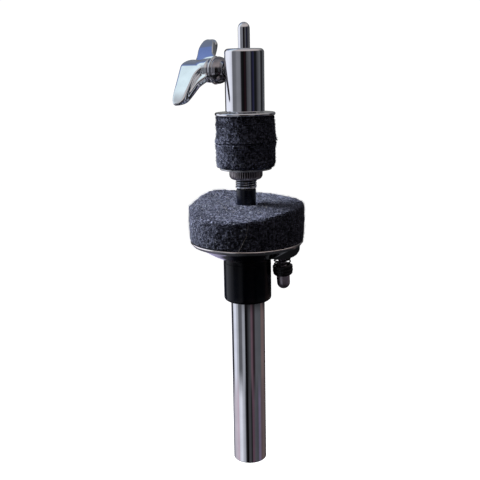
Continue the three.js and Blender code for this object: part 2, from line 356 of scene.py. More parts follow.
black_steel = metal("black_oxide", (0.012, 0.012, 0.014), (0.05, 0.05, 0.055), 0.26, 0.5, wave=0.03, grain=0.10)
# painted shade: a near-black metal laid into thread roots and knurl grooves to darken them
painted_groove_shade = metal("groove_painted_shade", (0.010, 0.009, 0.010), (0.03, 0.027, 0.03), 0.5, 0.7, wave=0.05, grain=0.2)
# painted highlight: a paler, pinkish copy of chrome for the top of the seat plate's rolled bead
bead_highlight_metal = metal("rim_bead_painted_highlight", (0.84, 0.78, 0.76), (0.95, 0.89, 0.87), 0.08, 0.20, wave=0.03, grain=0.02, pits=0.05)
# painted reflection: a darkened copy of chrome for the wing hub's nose, standing in for the dark barrel it reflects
hub_shade_metal = metal("hub_painted_dark_reflection", (0.20, 0.19, 0.21), (0.40, 0.39, 0.42), 0.06, 0.18, wave=0.08, grain=0.04, pits=0.1)
brass = metal("brass", (0.50, 0.34, 0.12), (0.68, 0.48, 0.20), 0.22, 0.42, wave=0.03, grain=0.06)


def plastic(name, dark, light, rough_lo, rough_hi, peel=0.05, spec=0.5):
    """Moulded plastic: faint colour drift, uneven gloss, orange peel and fine scuffs."""
    m = Mat(name)
    m.p.inputs["Specular IOR Level"].default_value = spec
    m.set("Base Color", m.mix(m.spread(m.noise(140, 4, 0.6), 0, 1), dark, light))
    scuff = m.noise(1, 4, 0.65, m.mapped((900, 900, 120)))
    r = m.spread(m.noise(300, 4, 0.6), rough_lo, rough_hi)
    m.set("Roughness", m.math("ADD", r, m.spread(scuff, 0, 0.10, 0.5, 0.8)))
    n1 = m.bump(m.noise(900, 2, 0.5), peel, 0.3)
    m.set("Normal", m.bump(m.noise(5200, 3, 0.6), peel * 0.8, 0.06, n1))
    return m.m


black_plastic = plastic("black_plastic", (0.0004, 0.0014, 0.0045), (0.0010, 0.0024, 0.0070), 0.12, 0.22, 0.03, 0.20)
sleeve_plastic = plastic("sleeve_plastic", (0.0008, 0.0020, 0.0075), (0.002, 0.004, 0.012), 0.20, 0.32, 0.04, 0.36)
nylon = plastic("white_nylon", (0.58, 0.56, 0.48), (0.74, 0.72, 0.64), 0.34, 0.5)


def felt_material(name, dark, mid, light, gain=1.0):
    """Pressed wool: dark ground with paler fibres matted over it at two scales."""
    m = Mat(name, Roughness=0.95)
    m.p.inputs["Specular IOR Level"].default_value = 0.12
    m.p.inputs["Sheen Weight"].default_value = 0.22
    m.p.inputs["Sheen Roughness"].default_value = 0.5
    m.p.inputs["Sheen Tint"].default_value = (0.72, 0.76, 1.0, 1)
    clump = m.noise(230, 3, 0.55)
    grain = m.noise(1050, 3, 0.7)
    strand1 = m.noise(1, 3, 0.6, m.mapped((1900, 480, 480), (0.3, 0.2, 0.9)), 0.8)
    strand2 = m.noise(1, 3, 0.6, m.mapped((480, 1900, 480), (0.7, 0.5, 0.2)), 0.8)
    strand3 = m.noise(1, 3, 0.6, m.mapped((480, 480, 1800), (0.2, 0.9, 0.4)), 0.8)
    s = m.math("MAXIMUM", m.math("MAXIMUM", strand1, strand2), strand3)
    lit = m.math("ADD", m.math("MULTIPLY", s, 0.66), m.math("MULTIPLY", grain, 0.42))
    lit = m.math("ADD", lit, m.math("MULTIPLY", clump, 0.07))
    m.set("Base Color", m.ramp(lit, [(0.560, dark), (0.600, mid), (0.655, light), (0.70, tuple(min(1, c * 2.4) for c in light))]))
    b1 = m.bump(m.noise(700, 4, 0.7), 0.75 * gain, 0.6)
    b2 = m.bump(s, 0.8 * gain, 0.4, b1)
    m.set("Normal", b2)
    return m.m


felt = felt_material("charcoal_felt", (0.004, 0.0045, 0.008), (0.030, 0.033, 0.050), (0.17, 0.18, 0.25))
fibre = felt_material("felt_fibre", (0.03, 0.033, 0.05), (0.14, 0.15, 0.20), (0.38, 0.40, 0.48), 0.2)
lint = felt_material("lint", (0.60, 0.55, 0.53), (0.75, 0.71, 0.69), (0.88, 0.85, 0.83), 0.2)


def dress(o, material, body=None, replaces=()):
    o.data.materials.clear()
    o.data.materials.append(material)
    if body:
        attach(o, body)
    if replaces:
        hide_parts(*replaces)
    return o


# CAD nodes that keep their own shape
for node, material in (
    ("rod_guide_bush", nylon), ("clutch_upper_bush", nylon), ("clutch_lower_bush", nylon),
    ("rod_coupling", steel), ("rod_lock_nut", steel), ("hinge_pin", steel), ("tilt_bush", steel), ("tilt_washer", steel),
    ("bowl_screw_1", steel), ("bowl_screw_2", steel), ("bowl_screw_3", steel), ("clamp_pad", brass),
):
    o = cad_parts[node]
    for i in range(max(1, len(o.data.materials))):
        if len(o.data.materials) == 0:
            o.data.materials.append(material)
        o.material_slots[i].link = "OBJECT"
        o.material_slots[i].material = material

# ------------------------------------------------------------------ upper tube, cap and sleeve
o = turned("upper_tube_fine", finer(rounded([(8.0, 0, 0.15), (9.525, 0, 0.15), (9.525, 0.4), (9.525, 0.8), (9.525, 112, 0.3), (8.0, 112, 0.25)], 3), 6), 192)
dress(o, chrome, "base", ["upper_tube"])

o = turned("tube_cap_fine", finer(rounded([
    (9.75, 97.7, 0.25), (13.35, 97.7, 3.2), (13.35, 119.55, 0.12), (13.0, 119.75, 0.1), (13.0, 120.15, 0.1), (13.35, 120.35, 0.12),
    (13.35, 121.58, 0.15), (5.6, 121.58, 0.1), (5.6, 115.4), (9.75, 115.4)], 7), 3), 192)
cut = turned("cut", [(0, 5), (2.3, 5), (2.3, 20), (0, 20)], 48, place=lambda V: np.stack([V[:, 0], V[:, 2], 104.5 + V[:, 1]], 1))
combine(o, cut, "DIFFERENCE")
for d in (90, 210, 330):
    t = math.radians(d)
    cut = turned("cut", [(0, 117.6), (1.6, 117.6), (1.6, 123), (0, 123)], 32, place=lambda V: V + np.array([9.6 * math.cos(t), 9.6 * math.sin(t), 0]))
    combine(o, cut, "DIFFERENCE")
dress(o, black_plastic, "base", ["tube_cap"])

o = turned("cap_grub_screw_fine", rounded([(0, 9.85), (1.2, 9.85, 0.1), (2.0, 10.4, 0.1), (2.0, 12.9, 0.2), (0, 12.9)], 3), 64,
           place=lambda V: np.stack([V[:, 0], V[:, 2], 104.5 + V[:, 1]], 1))
cut = prism("cut", [(1.15 * math.cos(i * TAU / 6), 1.15 * math.sin(i * TAU / 6)) for i in range(6)], 11.2, 14,
            place=lambda V: np.stack([V[:, 0], V[:, 2], 104.5 + V[:, 1]], 1))
combine(o, cut, "DIFFERENCE")
dress(o, black_steel, "base", ["cap_grub_screw"])

o = turned("seat_sleeve_fine", finer(rounded([(3.65, 113.65), (9.3, 113.65, 0.2), (9.3, 115.15, 0.2), (5.4, 115.15, 0.3), (5.4, 160.9, 0.6), (3.65, 160.9, 0.3)], 5), 4), 128)
dress(o, sleeve_plastic, "base", ["seat_sleeve"])

# ------------------------------------------------------------------ tilting seat
LEAN = math.radians(3.0)
TX, TZ = 19.9, 114.2
AX = np.array([-math.sin(LEAN), 0, math.cos(LEAN)])
BX = np.array([math.cos(LEAN), 0, math.sin(LEAN)])


def on_tilt(V):
    V = np.asarray(V, float)
    return V[:, :1] * BX + V[:, 1:2] * np.array([0, 1.0, 0]) + V[:, 2:3] * AX + np.array([TX, 0, TZ])


bowl = turned("seat_bowl_fine", finer(rounded([
    (5.75, 121.6, 0.3), (13.35, 121.6, 0.6), (14.5, 122.0, 1.5), (19.8, 124.6, 8), (24.5, 127.4, 6), (27.4, 129.0, 3), (28.9, 129.7, 1), (29.6, 130.15, 0.15),
    (28.7, 130.15, 0.15), (27.0, 130.0, 1), (24.0, 128.55, 3), (19.2, 125.75, 5), (13.9, 123.2, 1), (13.2, 122.8, 0.5), (5.75, 122.8, 0.3)], 6), 2.5), 224)
flank = turned("flank", rounded([
    (14.2, 122.2), (16.0, 122.4, 0.5), (23.6, 122.4, 1.6), (26.7, 123.6, 1.4), (28.3, 124.8, 1.4), (29.35, 126.5, 1.0), (29.5, 129.9, 0.2),
    (28.9, 129.9), (27.2, 129.5), (24.3, 128.0), (19.5, 125.2), (14.2, 122.6)], 5), 224)
combine(flank, block("cut", 12, 31, -8, 8, 110, 135), "INTERSECT")
combine(bowl, flank, "UNION")
combine(bowl, turned("boss", rounded([(0, 7.9), (6.5, 7.9, 0.4), (6.5, 10.7), (0, 10.7)], 4), 96, place=on_tilt), "UNION")
for s in (-1, 1):
    inner = turned("inner", [(0, 122.2), (13.3, 122.2), (19.5, 125.2), (24.3, 128.0), (27.2, 129.5), (27.2, 135), (0, 135)], 96)
    combine(inner, block("cut", -18.2, -13.8, s * 6.5 - 0.8, s * 6.5 + 0.8, 120, 130.6), "INTERSECT")
    combine(bowl, inner, "UNION")
combine(bowl, turned("cut", [(0, -12), (1.4, -12), (1.4, 12), (0, 12)], 40, place=lambda V: np.stack([V[:, 0] - 16, V[:, 2], V[:, 1] + 128.2], 1)), "DIFFERENCE")
combine(bowl, turned("cut", [(0, 4), (3.7, 4), (3.7, 15), (0, 15)], 48, place=on_tilt), "DIFFERENCE")
combine(bowl, turned("cut", [(0, 10.7), (5.3, 10.7), (5.3, 15.3), (0, 15.3)], 48, place=on_tilt), "DIFFERENCE")
for d in (90, 210, 330):
    t = math.radians(d)
    combine(bowl, turned("cut", [(0, 120), (1.7, 120), (1.7, 124), (0, 124)], 32, place=lambda V: V + np.array([9.6 * math.cos(t), 9.6 * math.sin(t), 0])), "DIFFERENCE")
dress(bowl, chrome, "base", ["seat_bowl"])

plate = turned("seat_plate_fine", finer(rounded([
    (7.0, 131.3, 0.3), (29.5, 131.3, 0.3), (29.85, 130.9, 0.2), (29.9, 130.2, 0.1), (30.25, 130.1, 0.12), (30.9, 131.35, 0.15), (31.4, 131.5, 0.22), (31.4, 132.3, 0.56),
    (30.6, 132.3), (7.0, 132.3, 0.3)], 6), 4), 256)
combine(plate, block("tab", -18.0, -14.0, -5.2, 5.2, 126.2, 131.8), "UNION")
combine(plate, turned("cut", [(0, -12), (1.4, -12), (1.4, 12), (0, 12)], 40, place=lambda V: np.stack([V[:, 0] - 16, V[:, 2], V[:, 1] + 128.2], 1)), "DIFFERENCE")
dress(plate, chrome, "seat", ["seat_plate"])
# painted highlight: the faces on top of the rolled bead take the paler metal
plate.data.materials.append(bead_highlight_metal)
for p in plate.data.polygons:
    c = p.center / MM
    if c.z > 131.75 and math.hypot(c.x, c.y) > 31.0:
        p.material_index = 1

# ------------------------------------------------------------------ felts


def fractal(P, scale, octaves=4, seed=0.0):
    """Smooth noise at points in millimetres, about -1 to 1."""
    out = np.zeros(len(P))
    off = Vector((seed * 17.3, seed * 5.1, seed * 11.7))
    for i, p in enumerate(P):
        out[i] = noise.fractal(Vector(p) * scale + off, 0.7, 2.1, octaves, noise_basis="PERLIN_ORIGINAL")
    return out


def roughened(V, F, centre_normals, amount, scale, seed, fine=0.0):
    """Moves felt's surface points in and out by noise, along the given directions."""
    d = fractal(V, scale, 4, seed) * amount
    if fine:
        d += fractal(V, scale * 3.3, 3, seed + 3) * fine
    return V + centre_normals * d[:, None]


def surface_normals(V, F):
    me = bpy.data.meshes.new("t")
    me.from_pydata([tuple(v) for v in V], [], F)
    bm = bmesh.new()
    bm.from_mesh(me)
    bmesh.ops.recalc_face_normals(bm, faces=bm.faces)
    bm.normal_update()
    N = np.array([v.normal for v in bm.verts], float)
    bm.free()
    bpy.data.meshes.remove(me)
    return N


def fibres(name, V, N, count, length, radius, seed, keep=None, lift=0.5, steps=4):
    """Short curled fibres standing off a surface, as one mesh of thin closed wires."""
    rng = np.random.default_rng(seed)
    pick = np.arange(len(V)) if keep is None else np.nonzero(keep)[0]
    verts, faces = [], []
    for i in rng.choice(pick, count):
        n = N[i]
        t = rng.normal(size=3)
        t -= n * (t @ n)
        t /= np.linalg.norm(t)
        b = np.cross(n, t)
        L = length * rng.uniform(0.45, 1.35)
        rise = lift * rng.uniform(0.25, 1.2)
        curl = rng.uniform(-0.9, 0.9)
        start = V[i] + rng.normal(size=3) * 0.12 - n * 0.08
        pts = []
        for j in range(steps + 1):
            q = j / steps
            pts.append(start + t * L * q * (1 - 0.2 * q) + n * L * rise * math.sin(min(1, q * 1.15) * math.pi * 0.8) + b * L * curl * q * q * 0.5)
        v, f = tube_along("f", pts, radius, 3, lambda s: 1.0 - 0.55 * s)
        k = len(verts)
        verts += v
        faces += [tuple(a + k for a in x) for x in f]
    return make(name, verts, faces, 60)


# seat felt: thick pad, worn and dished out of flat
EDGE = np.array([
    (10, 152.8), (44, 153.0), (78, 153.9), (96, 154.9), (113, 156.0), (127, 156.5), (140, 155.6), (155, 153.4), (169, 152.0), (185, 151.9), (199.5, 151.6), (217, 149.5), (228, 148.3),
    (240, 147.7), (252, 147.7), (265, 148.1), (277, 149.0), (293, 150.4), (313, 151.7), (332, 152.5), (350, 152.7)])
ea = np.radians(EDGE[:, 0])
basis = lambda t: np.stack([np.ones_like(t)] + [f(k * t) for k in range(1, 7) for f in (np.cos, np.sin)], -1)
coef = np.linalg.lstsq(basis(ea), EDGE[:, 1], rcond=None)[0]


def edge_height(T):
    return basis(np.asarray(T, float).ravel()).dot(coef).reshape(np.shape(T))


LOW, REF = 132.45, 152.5


def seat_felt_shape(R, Z, T):
    share = np.clip((Z - LOW) / (REF - LOW), 0, 1.2)
    inner = 5.75 + 1.2 * np.maximum(0, np.cos(T))
    u = np.clip((R - 7.0) / (31.6 - 7.0), 0, 1)
    R2 = inner + (R - 7.0) / (31.6 - 7.0) * (31.6 - inner)
    top = 152.4 + (edge_height(T) - 152.4) * u ** 1.6 - 0.35 * np.sin(np.pi * u)
    Z2 = LOW + (top - LOW) * share
    bulge = np.sin(np.pi * np.clip(share, 0, 1)) * np.clip((R - 20) / 11.6, 0, 1)
    R2 = R2 + 0.35 * bulge - 0.35 * (1 - share) * np.clip((R - 28) / 3.6, 0, 1)
    return R2, Z2


prof = finer(rounded([(7.0, LOW, 0.5), (31.6, LOW, 0.8), (31.6, REF, 1.5), (7.0, REF, 0.9)], 6), 0.55)
V, F = revolved(prof, 288, seat_felt_shape)
N = surface_normals(V, F)
flat = np.clip((V[:, 2] - LOW - 0.02) / 0.6, 0, 1)
inside = np.hypot(V[:, 0], V[:, 1]) < 9
amp = np.where(inside, 0.12, 0.30) * flat
V2 = V + N * (amp * fractal(V, 0.28, 4, 1.0))[:, None] + N * (np.where(inside, 0.05, 0.16) * flat * fractal(V, 1.15, 3, 4.0))[:, None]
seat_felt = make("seat_felt_pad", V2, F, 80)
dress(seat_felt, felt, "seat", ["seat_felt"])
side_or_top = (V2[:, 2] > LOW + 0.8) & ~inside
fz = fibres("seat_felt_fuzz", V2, N, 5600, 1.7, 0.05, 11, side_or_top, 0.40)
dress(fz, fibre, "seat")

# one long pale fibre lying down the front of the pad, and a few bits of lint on top
rng = np.random.default_rng(5)
lv, lf = [], []


def add_strand(pts, r):
    v, f = tube_along("s", pts, r, 5, lambda s: 1.0 - 0.4 * s)
    k = len(lv)
    lv.extend(v)
    lf.extend([tuple(a + k for a in x) for x in f])


def on_side(deg, z, off=0.45):
    t = math.radians(deg)
    r = 31.6 + off
    return np.array([r * math.cos(t), r * math.sin(t), z])


add_strand([on_side(d, z) for d, z in ((261.5, 132.9), (262.6, 133.9), (263.9, 135.3), (265.4, 137.1), (267.0, 138.8), (268.6, 140.2), (269.6, 141.3))], 0.17)
add_strand([on_side(d, z) for d, z in ((268.6, 141.0), (269.2, 142.4), (270.0, 144.4), (270.9, 146.3))], 0.11)


def on_top(deg, r, off=0.3):
    t = math.radians(deg)
    u = (r - 7.0) / 24.6
    z = 152.4 + (float(edge_height(np.array([t]))[0]) - 152.4) * max(0, u) ** 1.6 - 0.35 * math.sin(math.pi * u)
    return np.array([r * math.cos(t), r * math.sin(t), z + off])


for k in range(60):
    d0, r0 = rng.uniform(0, 360), rng.uniform(9, 30)
    a = rng.uniform(0, TAU)
    L = rng.uniform(0.9, 2.6)
    c = rng.uniform(-0.6, 0.6)
    base = np.array([r0 * math.cos(math.radians(d0)), r0 * math.sin(math.radians(d0))])
    pts = []
    for j in range(5):
        q = j / 4
        xy = base + L * q * np.array([math.cos(a + c * q), math.sin(a + c * q)])
        rr = min(30.6, max(8.2, float(np.hypot(*xy))))
        pts.append(on_top(math.degrees(math.atan2(xy[1], xy[0])), rr, 0.32))
    add_strand(pts, rng.uniform(0.04, 0.08))
dress(make("seat_felt_lint", lv, lf, 60), lint, "seat")

# clutch felts: two soft rings squeezed together, bulging where they meet


def clutch_felt(name, z0, z1, body, node, seed, shape):
    prof = finer(rounded([(6.4, z0, 0.3), (15.8, z0, 0.7), (15.8, z1, 0.7), (6.4, z1, 0.3)], 5), 0.5)
    V, F = revolved(prof, 224, shape)
    N = surface_normals(V, F)
    out = np.hypot(V[:, 0], V[:, 1])
    side = np.clip((out - 13.0) / 2.0, 0, 1)
    V2 = V + N * ((0.24 * side) * fractal(V, 0.33, 4, seed))[:, None] + N * ((0.13 * side) * fractal(V, 1.25, 3, seed + 4))[:, None]
    o = make(name, V2, F, 80)
    dress(o, felt, body, [node])
    keep = (out > 15.0) & (V2[:, 2] > z0 + 0.5) & (V2[:, 2] < z1 - 0.5)
    f = fibres(name.replace("pad", "fuzz"), V2, N, 2100, 1.3, 0.045, int(seed * 7) + 3, keep, 0.38)
    dress(f, fibre, body)
    return o


def seam(T, R):
    """The meeting face of the two felts, leaning up to the right."""
    return 0.55 * np.cos(T) * np.clip(R / 15.8, 0, 1)


def upper_shape(R, Z, T):
    s = np.clip((Z - 186.35) / (200.3 - 186.35), 0, 1)      # 0 at the seam, 1 under the washer
    w = np.clip((R - 8) / 7.8, 0, 1)
    side = 0.95 * np.exp(-((s - 0.0) / 0.20) ** 2) - 0.22 * np.exp(-((s - 0.88) / 0.16) ** 2) + 0.10 * np.sin(2.2 * T + 1)
    side = side + 0.28 * np.cos(T - 0.15) * (1 - s)
    return R + side * w, Z + seam(T, R) * (1 - s)


def lower_shape(R, Z, T):
    s = np.clip((186.15 - Z) / (186.15 - 172.8), 0, 1)      # 0 at the seam, 1 at the bottom
    w = np.clip((R - 8) / 7.8, 0, 1)
    side = 0.75 * np.exp(-((s - 0.02) / 0.28) ** 2) + 0.28 * np.exp(-((s - 0.75) / 0.25) ** 2) - 0.35 * np.exp(-((s - 1.0) / 0.10) ** 2)
    side = side + 0.20 * np.cos(T) * (1 - s)
    return R + side * w, Z + seam(T, R) * (1 - s)


clutch_felt("clutch_upper_felt_pad", 186.35, 200.3, "clutch", "clutch_upper_felt", 2.0, upper_shape)
clutch_felt("clutch_lower_felt_pad", 172.8, 186.15, "lower_stack", "clutch_lower_felt", 3.0, lower_shape)

# ------------------------------------------------------------------ tilt screw, collar and spring


def threaded(name, r, z0, z1, pitch, depth, seg=72, lead_in=1.0, head=(), tail=(), place=None, sharp=50):
    """A shaft with a real helical thread between z0 and z1; head and tail are (radius, height) points below and above it."""
    step = pitch / 8
    zs = np.arange(z0, z1 + step / 2, step)
    prof = list(head) + [(r, z) for z in zs] + list(tail)
    nh = len(head)

    def change(R, Z, T):
        ph = (Z / pitch - T / TAU) % 1.0
        tri = 1 - np.abs(ph * 2 - 1)
        ease = np.clip((Z - z0) / (pitch * lead_in), 0, 1) * np.clip((z1 - Z) / (pitch * lead_in), 0, 1)
        d = np.clip(tri * 1.35 - 0.18, 0, 1) * depth * ease
        idx = np.zeros(R.shape[1], bool)
        idx[nh:nh + len(zs)] = True
        return np.where(idx[None, :], R - d, R), Z

    return turned(name, prof, seg, change, sharp, place)


bullet = [(0, -10.8)] + [(3.7 * math.sin(a), -7.1 - 3.7 * math.cos(a)) for a in np.radians(np.arange(6, 91, 6))] + [(3.68, -6.0), (3.72, -4.4), (3.7, -3.1), (3.5, -2.95), (2.4, -2.95)]
o = threaded("tilt_screw_fine", 2.4, -2.6, 15.8, 0.9, 0.28, 72, 1.0, bullet, [(2.35, 16.0), (1.6, 16.8), (0, 16.8)], on_tilt)
dress(o, bullet_metal, "tilt_knob", ["tilt_screw"])


def knurl(R, Z, T):
    out = np.clip((R - 5.25) / 0.2, 0, 1)
    mid = np.clip((Z + 0.9) / 0.4, 0, 1)
    return R - 0.10 * out * mid * (0.5 + 0.5 * np.cos(44 * T)), Z


o = turned("tilt_collar_fine", finer(rounded([
    (2.7, -2.7, 0.1), (4.6, -2.7, 0.3), (5.4, -1.9, 0.3), (5.45, -1.25, 0.1), (5.2, -1.05, 0.1), (5.2, -0.8, 0.1), (5.7, -0.6, 0.15), (5.7, 0.55, 0.15), (5.35, 0.75, 0.1), (5.35, 1.05, 0.1),
    (5.7, 1.25, 0.15), (5.6, 2.8, 0.15), (5.1, 2.8, 0.12), (5.1, -1.2, 0.1), (2.7, -1.2, 0.1)], 3), 0.5), 264, knurl, 40, on_tilt)
dress(o, black_steel, "tilt_knob", ["tilt_collar"])

turns, n = 4.2, 340
sp = []
for i in range(n + 1):
    t = i / n
    a = t * turns * TAU + 2.2
    e = t + 0.035 * math.sin(TAU * t) * -1
    rr = 4.35 + 0.12 * math.sin(math.pi * t)
    sp.append((rr * math.cos(a), rr * math.sin(a), 0.35 + 6.8 * e))
v, f = tube_along("s", sp, 0.42, 12)
o = make("tilt_spring_fine", on_tilt(v), f, 60)
dress(o, black_steel, "base", ["tilt_spring"])
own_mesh(o)

# ------------------------------------------------------------------ pull rod
dome = [(3.175 * math.cos(a), 245.4 + 3.4 * math.sin(a)) for a in np.radians(np.arange(0, 90, 6))] + [(0, 248.8)]
o = turned("pull_rod_fine", [(0, 20.2), (2.7, 20.2), (2.9, 20.5), (2.9, 35.5), (3.175, 35.8)] + [(3.175, z) for z in range(40, 245, 6)] + dome, 128)
dress(o, chrome, "rod", ["pull_rod"])

# ------------------------------------------------------------------ clutch
WZ = 224.2
A = np.array([-0.870356, 0.492424, 0.0])
U = np.array([0.0, 0.0, 1.0])
W = np.cross(A, U)
ROLL = math.radians(42.7)
az = math.radians(29.5)


def wing_frame(V, roll=0.0):
    """(spread, across, outward) to the row frame."""
    V = np.asarray(V, float)
    x, y, z = V[:, 0], V[:, 1], V[:, 2]
    x, y = x * math.cos(roll) - y * math.sin(roll), x * math.sin(roll) + y * math.cos(roll)
    X, Y, Z = -z, y, x                                   # outward -> -X, spread -> +Z
    return np.stack([X * math.cos(-az) - Y * math.sin(-az), X * math.sin(-az) + Y * math.cos(-az), Z + WZ], 1)


o = turned("clutch_barrel_fine", finer(rounded([
    (6.25, 202.4, 0.2), (10.6, 202.4, 0.7), (10.6, 235.3, 2.0), (3.6, 235.3, 0.35), (3.6, 233.7), (5.25, 233.7), (5.25, 215.9), (6.25, 215.9)], 9), 3), 224)
combine(o, turned("cut", [(0, 4), (3.3, 4), (3.3, 14), (0, 14)], 64, place=wing_frame), "DIFFERENCE")
dress(o, chrome, "clutch", ["clutch_barrel"])

thread_top = [(5.85, 215.6), (3.65, 215.6), (3.65, 172.3), (4.85, 172.3), (4.85, 161.2)]
o = threaded("clutch_spindle_fine", 5.9, 161.5, 201.0, 1.25, 0.60, 128, 0.6, [(5.4, 161.2)], thread_top, None, 50)
dress(o, chrome_dull, "clutch", ["clutch_spindle"])
# painted shade: the thread roots at the foot of the spindle take the near-black groove metal
o.data.materials.append(painted_groove_shade)
for p in o.data.polygons:
    c = p.center / MM
    if c.z < 167 and 5.2 < math.hypot(c.x, c.y) < 5.56:
        p.material_index = 1

o = threaded("wing_screw_fine", 2.85, 6.2, 19.2, 0.8, 0.3, 64, 1.0, [(0, 5.7), (2.4, 5.7)], [(2.5, 19.5), (0, 19.5)], wing_frame)
dress(o, steel, "wing", ["wing_screw"])

o = turned("upper_felt_washer_fine", finer(rounded([(6.4, 200.5, 0.2), (15.9, 200.5, 0.35), (16.35, 200.9, 0.45), (16.35, 201.75, 0.45), (15.9, 202.15, 0.4), (6.4, 202.15, 0.2)], 5), 3), 224)
dress(o, chrome, "clutch", ["upper_felt_washer"])
o = turned("lower_felt_washer_fine", finer(rounded([(6.4, 171.55, 0.2), (14.2, 171.55, 0.3), (14.2, 172.6, 0.3), (6.4, 172.6, 0.2)], 4), 3), 192)
dress(o, steel, "lower_stack", ["lower_felt_washer"])


def nut_knurl(R, Z, T):
    band = np.clip((Z - 167.0) / 0.5, 0, 1) * np.clip((171.3 - Z) / 0.2, 0, 1) * np.clip((R - 8.2) / 0.3, 0, 1)
    wave = np.clip(np.abs(((T * 44 / TAU) % 1.0) * 2 - 1) * 2.8 - 1.15, 0, 1)
    return R - 0.60 * band * wave, Z


o = turned("clutch_nut_fine", finer(rounded([
    (6.25, 165.9, 0.2), (6.9, 165.9, 0.3), (8.3, 166.5, 0.9), (9.0, 167.6, 0.9), (9.15, 168.4, 0.3), (9.15, 171.0, 0.25), (8.9, 171.35, 0.2), (6.25, 171.35, 0.2)], 5), 0.45), 616, nut_knurl, 28)
dress(o, dark_nickel, "nut", ["clutch_nut"])
# painted shade: the knurl valleys take the near-black groove metal
o.data.materials.append(painted_groove_shade)
for p in o.data.polygons:
    c = p.center
    r, z = math.hypot(c.x, c.y) / MM, c.z / MM
    wall = np.interp(z, [166.4, 167.0, 167.6, 168.4, 171.3], [8.0, 8.45, 8.85, 9.1, 9.12])
    if 166.9 < z < 171.2 and 7.6 < r < wall - 0.24:
        p.material_index = 1

# ------------------------------------------------------------------ wing handle


def bez(points, n=12):
    """Outline from ('M', p), ('C', c1, c2, p) and ('L', p) pieces."""
    out = [points[0][1]]
    for k, *p in points[1:]:
        if k == "L":
            a, b = np.array(out[-1], float), np.array(p[0], float)
            m = max(1, int(np.linalg.norm(b - a) / 1.2))
            out += [tuple(a + (b - a) * j / m) for j in range(1, m + 1)]
        else:
            p0, p1, p2, p3 = (np.array(q, float) for q in (out[-1], *p))
            for j in range(1, n + 1):
                t = j / n
                out.append(tuple((1 - t) ** 3 * p0 + 3 * (1 - t) ** 2 * t * p1 + 3 * (1 - t) * t * t * p2 + t ** 3 * p3))
    if np.linalg.norm(np.array(out[0]) - np.array(out[-1])) < 1e-6:
        out.pop()
    return out


face = bez([("M", (-2.6, 37.0)), ("C", (-7, 36.2), (-13, 35.0), (-21.2, 33.6)), ("C", (-24.6, 33.0), (-25.8, 31.8), (-25.5, 29.8)),
            ("C", (-25.0, 26.6), (-23.2, 25.4), (-20.5, 25.5)), ("L", (-9.5, 25.4)), ("C", (-5.5, 25.2), (-3.5, 23.6), (-2.6, 21.0)),
            ("L", (2.0, 20.6)), ("L", (3.4, 32.2)), ("C", (3.7, 35.6), (1.4, 37.7), (-2.6, 37.0))])
back = bez([("M", (-1.0, 36.6)), ("C", (-6, 36.0), (-12, 35.1), (-21.5, 33.6)), ("C", (-23.9, 33.2), (-24.2, 32.0), (-23.8, 30.4)),
            ("C", (-23.2, 27.8), (-22.4, 26.4), (-20.8, 25.8)), ("L", (-12.2, 23.4)), ("C", (-10.2, 22.6), (-8.8, 20.6), (-7.0, 19.4)), ("L", (-1.0, 19.4))])


def slab(outline, t0, t1, flip):
    """A blade in (spread, across, outward); flip turns it half round the screw's axis. The root rolls over into a rounded shoulder and the tip thins."""
    o = bevelled(prism("slab", outline, t0, t1, place=lambda V: np.stack([V[:, 0], V[:, 2], V[:, 1]], 1)), 0.7, 3)
    m = o.modifiers.new("r", "REMESH")
    m.mode, m.voxel_size = "VOXEL", 0.3 * MM
    baked(o)
    P = np.array([v.co for v in o.data.vertices], float) / MM
    s, t = P[:, 0].copy(), P[:, 1].copy()
    roll = 0.105 * np.maximum(0, s + 1.6) ** 2 * (1.0 if outline is face else 0.0)
    t += roll
    s += 0.85 * roll
    e = np.clip((-15.5 - s) / 9.0, 0, 1)
    t = -2.9 + (t + 2.9) * (1 - (0.52 if flip else 0.42) * e ** 2)
    if not flip:
        s -= 1.7 * e
    if flip:
        b = np.maximum(0, -s - 4)
        P[:, 2] += 0.115 * np.maximum(0, -s - 7) - 1.9 * np.exp(-((s + 8.5) / 5.5) ** 2) * np.clip((P[:, 2] - 30) / 5, 0, 1)
        t -= 0.145 * b * b / (b + 2)
        s -= 0.15 * b
        s, t = -s, -t
    P[:, 0], P[:, 1] = s, t
    o.data.vertices.foreach_set("co", (P * MM).astype(np.float32).ravel())
    return o


parts = []
for flip in (False, True):
    parts.append(slab(face, -5.9, -2.4, flip))
    parts.append(slab(back, -3.4, 0.6, flip))
handle = turned("wing_handle_fine", finer(rounded([
    (3.2, 11.2), (4.4, 11.2, 0.4), (5.7, 12.4, 1.0), (6.8, 14.0, 1.4), (7.25, 15.8, 1.0), (7.15, 16.6, 0.3), (6.5, 16.85, 0.1), (6.5, 17.3, 0.1), (7.6, 17.5, 0.3), (7.6, 18.2, 0.3), (6.3, 18.5, 0.2), (6.2, 20.2, 0.3),
    (6.6, 21.2, 0.5), (6.2, 25.0, 2), (5.0, 31.0, 2), (0, 33.0), (0, 19.9), (3.2, 19.9)], 4), 1.5), 128)
join_into(handle, *parts)
m = handle.modifiers.new("r", "REMESH")
m.mode, m.voxel_size, m.use_smooth_shade = "VOXEL", 0.24 * MM, True
m = handle.modifiers.new("s", "SMOOTH")
m.factor, m.iterations = 0.5, 12
baked(handle)
co = np.array([v.co for v in handle.data.vertices], float) / MM
